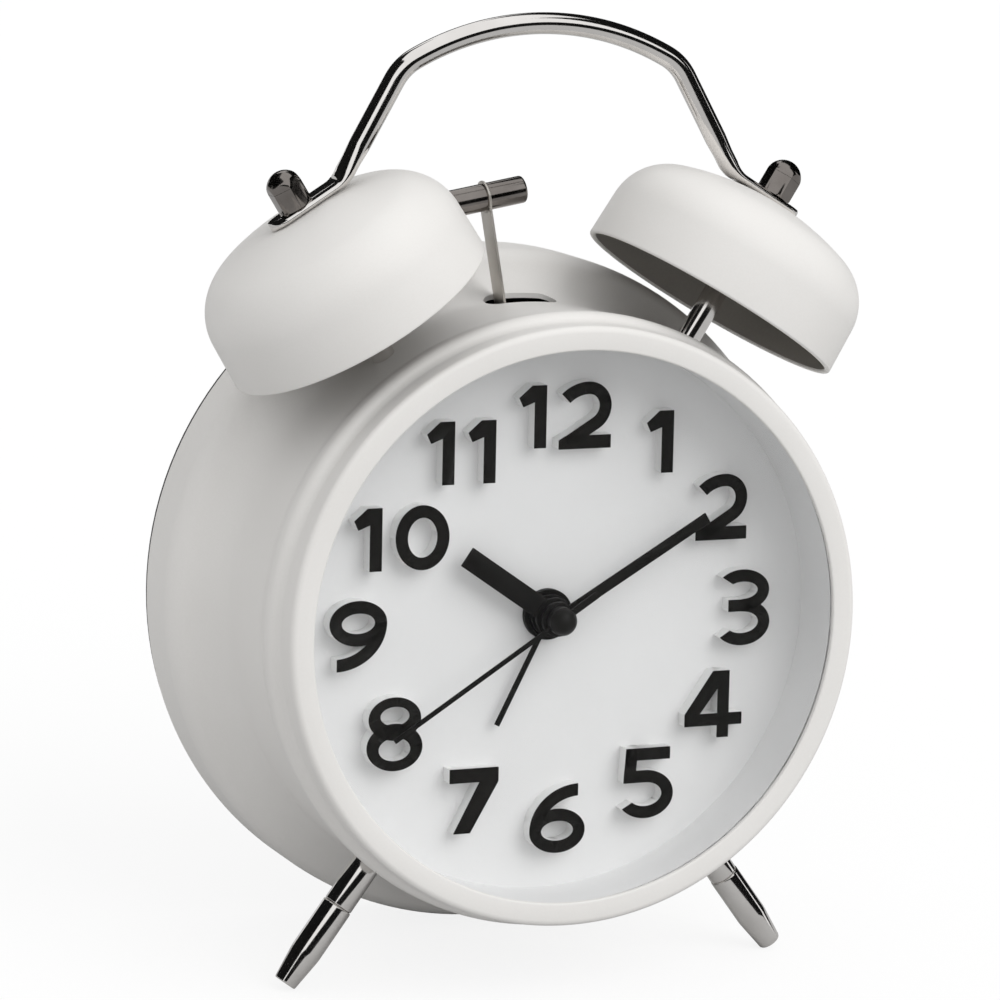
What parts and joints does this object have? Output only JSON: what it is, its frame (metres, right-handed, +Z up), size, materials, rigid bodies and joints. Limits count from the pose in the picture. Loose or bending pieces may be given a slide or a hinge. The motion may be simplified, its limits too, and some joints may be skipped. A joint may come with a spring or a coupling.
{
  "type": "twin-bell alarm clock",
  "caption": "Twin-bell alarm clock: a round flared metal drum on splayed legs, with raised numerals, hands, a hammer between the bells and an arched handle.",
  "frame": {"origin": "centre of the bounding box on the table top", "axes": "+Z up, +Y from the dial towards the back, +X to the right for someone who reads the dial; the dial leans back by 6.01 degrees"},
  "size_m": [0.116, 0.064, 0.1594],
  "materials": {
    "case_enamel": "satin white enamel",
    "window": "clear polished",
    "dial_white": "fine matte white",
    "numeral_white": "satin white",
    "numeral_black": "satin black",
    "hand_black": "matt black lacquer",
    "chrome": "polished plating",
    "dark_nickel": "dark nickel plating",
    "steel": "bright rolled steel",
    "soft_iron": "annealed iron sheet",
    "magnet": "sintered, dark grey",
    "copper_wire": "varnished copper winding",
    "cover_black": "fine grained black",
    "movement_grey": "moulded grey",
    "wheel_natural": "natural acetal",
    "board": "green lacquered board",
    "cell_wrap": "plain dark wrap"
  },
  "bodies": {
    "case": {"case_shell": "case_enamel", "lens": "window", "spacer_ring": "dial_white", "dial": "dial_white", "numeral_blocks": "numeral_white", "numeral_faces": "numeral_black", "movement_housing": "movement_grey", "movement_cover": "movement_grey", "stator": "soft_iron", "stepper_coil": "copper_wire", "circuit_board": "board", "rear_cover": "cover_black", "cover_screws": "steel", "alarm_switch_body": "movement_grey", "battery_cells": "cell_wrap", "contact_plates": "steel", "contact_springs": "steel", "bell_left": "case_enamel", "bell_right": "case_enamel", "bell_post_left": "chrome", "bell_post_right": "chrome", "post_nuts": "steel", "handle": "chrome", "acorn_nuts": "dark_nickel", "leg_collar_left": "chrome", "leg_collar_right": "chrome", "leg_foot_left": "chrome", "leg_foot_right": "chrome", "leg_nuts": "steel", "striker_frame": "steel", "striker_core": "soft_iron", "striker_coil": "copper_wire", "hammer_pivot": "steel"},
    "hammer": {"hammer_arm": "steel", "hammer_head": "dark_nickel", "hammer_magnet": "magnet"},
    "minute": {"minute_pipe": "wheel_natural", "minute_hand": "hand_black"},
    "hour": {"hour_wheel": "wheel_natural", "hour_hand": "hand_black"},
    "time_set": {"motion_wheel": "wheel_natural", "time_set_knob": "cover_black"},
    "seconds": {"seconds_wheel": "wheel_natural", "second_hand": "hand_black"},
    "third": {"third_wheel": "wheel_natural"},
    "rotor": {"rotor": "wheel_natural"},
    "alarm_set": {"alarm_set_pinion": "wheel_natural", "alarm_set_knob": "cover_black"},
    "alarm_pointer": {"alarm_wheel": "wheel_natural", "alarm_hand": "hand_black"},
    "alarm_switch": {"alarm_switch_button": "cover_black"},
    "door": {"battery_door": "cover_black"}
  },
  "joints": [
    {"name": "hammer_swing", "type": "hinge", "parent": "case", "child": "hammer", "pos_m": [0, 0.00489, 0.09034], "axis": [0, 0.9945, -0.1047], "range_deg": [0, 20.4]},
    {"name": "minute_turn", "type": "hinge", "parent": "case", "child": "minute", "pos_m": [0, -0.00566, 0.06078], "axis": [0, 0.9945, -0.1047], "continuous": true},
    {"name": "hour_turn", "type": "hinge", "parent": "case", "child": "hour", "pos_m": [0, -0.00765, 0.06099], "axis": [0, 0.9945, -0.1047], "continuous": true},
    {"name": "time_set_turn", "type": "hinge", "parent": "case", "child": "time_set", "pos_m": [-0.012, -0.00566, 0.06078], "axis": [0, 0.9945, -0.1047], "continuous": true},
    {"name": "seconds_turn", "type": "hinge", "parent": "case", "child": "seconds", "pos_m": [0, -0.00298, 0.0605], "axis": [0, 0.9945, -0.1047], "continuous": true},
    {"name": "third_turn", "type": "hinge", "parent": "case", "child": "third", "pos_m": [0, -0.00205, 0.04834], "axis": [0, 0.9945, -0.1047], "continuous": true},
    {"name": "rotor_turn", "type": "hinge", "parent": "case", "child": "rotor", "pos_m": [0.0097, -0.00084, 0.04258], "axis": [0, 0.9945, -0.1047], "continuous": true},
    {"name": "alarm_set_turn", "type": "hinge", "parent": "case", "child": "alarm_set", "pos_m": [0.012, -0.00944, 0.06118], "axis": [0, 0.9945, -0.1047], "continuous": true},
    {"name": "alarm_pointer_turn", "type": "hinge", "parent": "case", "child": "alarm_pointer", "pos_m": [0, -0.00944, 0.06118], "axis": [0, 0.9945, -0.1047], "continuous": true},
    {"name": "alarm_switch_slide", "type": "slide", "parent": "case", "child": "alarm_switch", "axis": [1, 0, 0], "range_m": [0, 0.004]},
    {"name": "battery_door_tip", "type": "hinge", "parent": "case", "child": "door", "pos_m": [0, 0.01993, 0.01591], "axis": [-1, 0, 0], "range_deg": [0, 80]}
  ],
  "couplings": [
    {"joint": "hour_turn", "follows": "minute_turn", "ratio": 0.083333},
    {"joint": "time_set_turn", "follows": "minute_turn", "ratio": -0.33333},
    {"joint": "third_turn", "follows": "seconds_turn", "ratio": -5},
    {"joint": "rotor_turn", "follows": "seconds_turn", "ratio": 30},
    {"joint": "alarm_pointer_turn", "follows": "alarm_set_turn", "ratio": -0.66667}
  ]
}
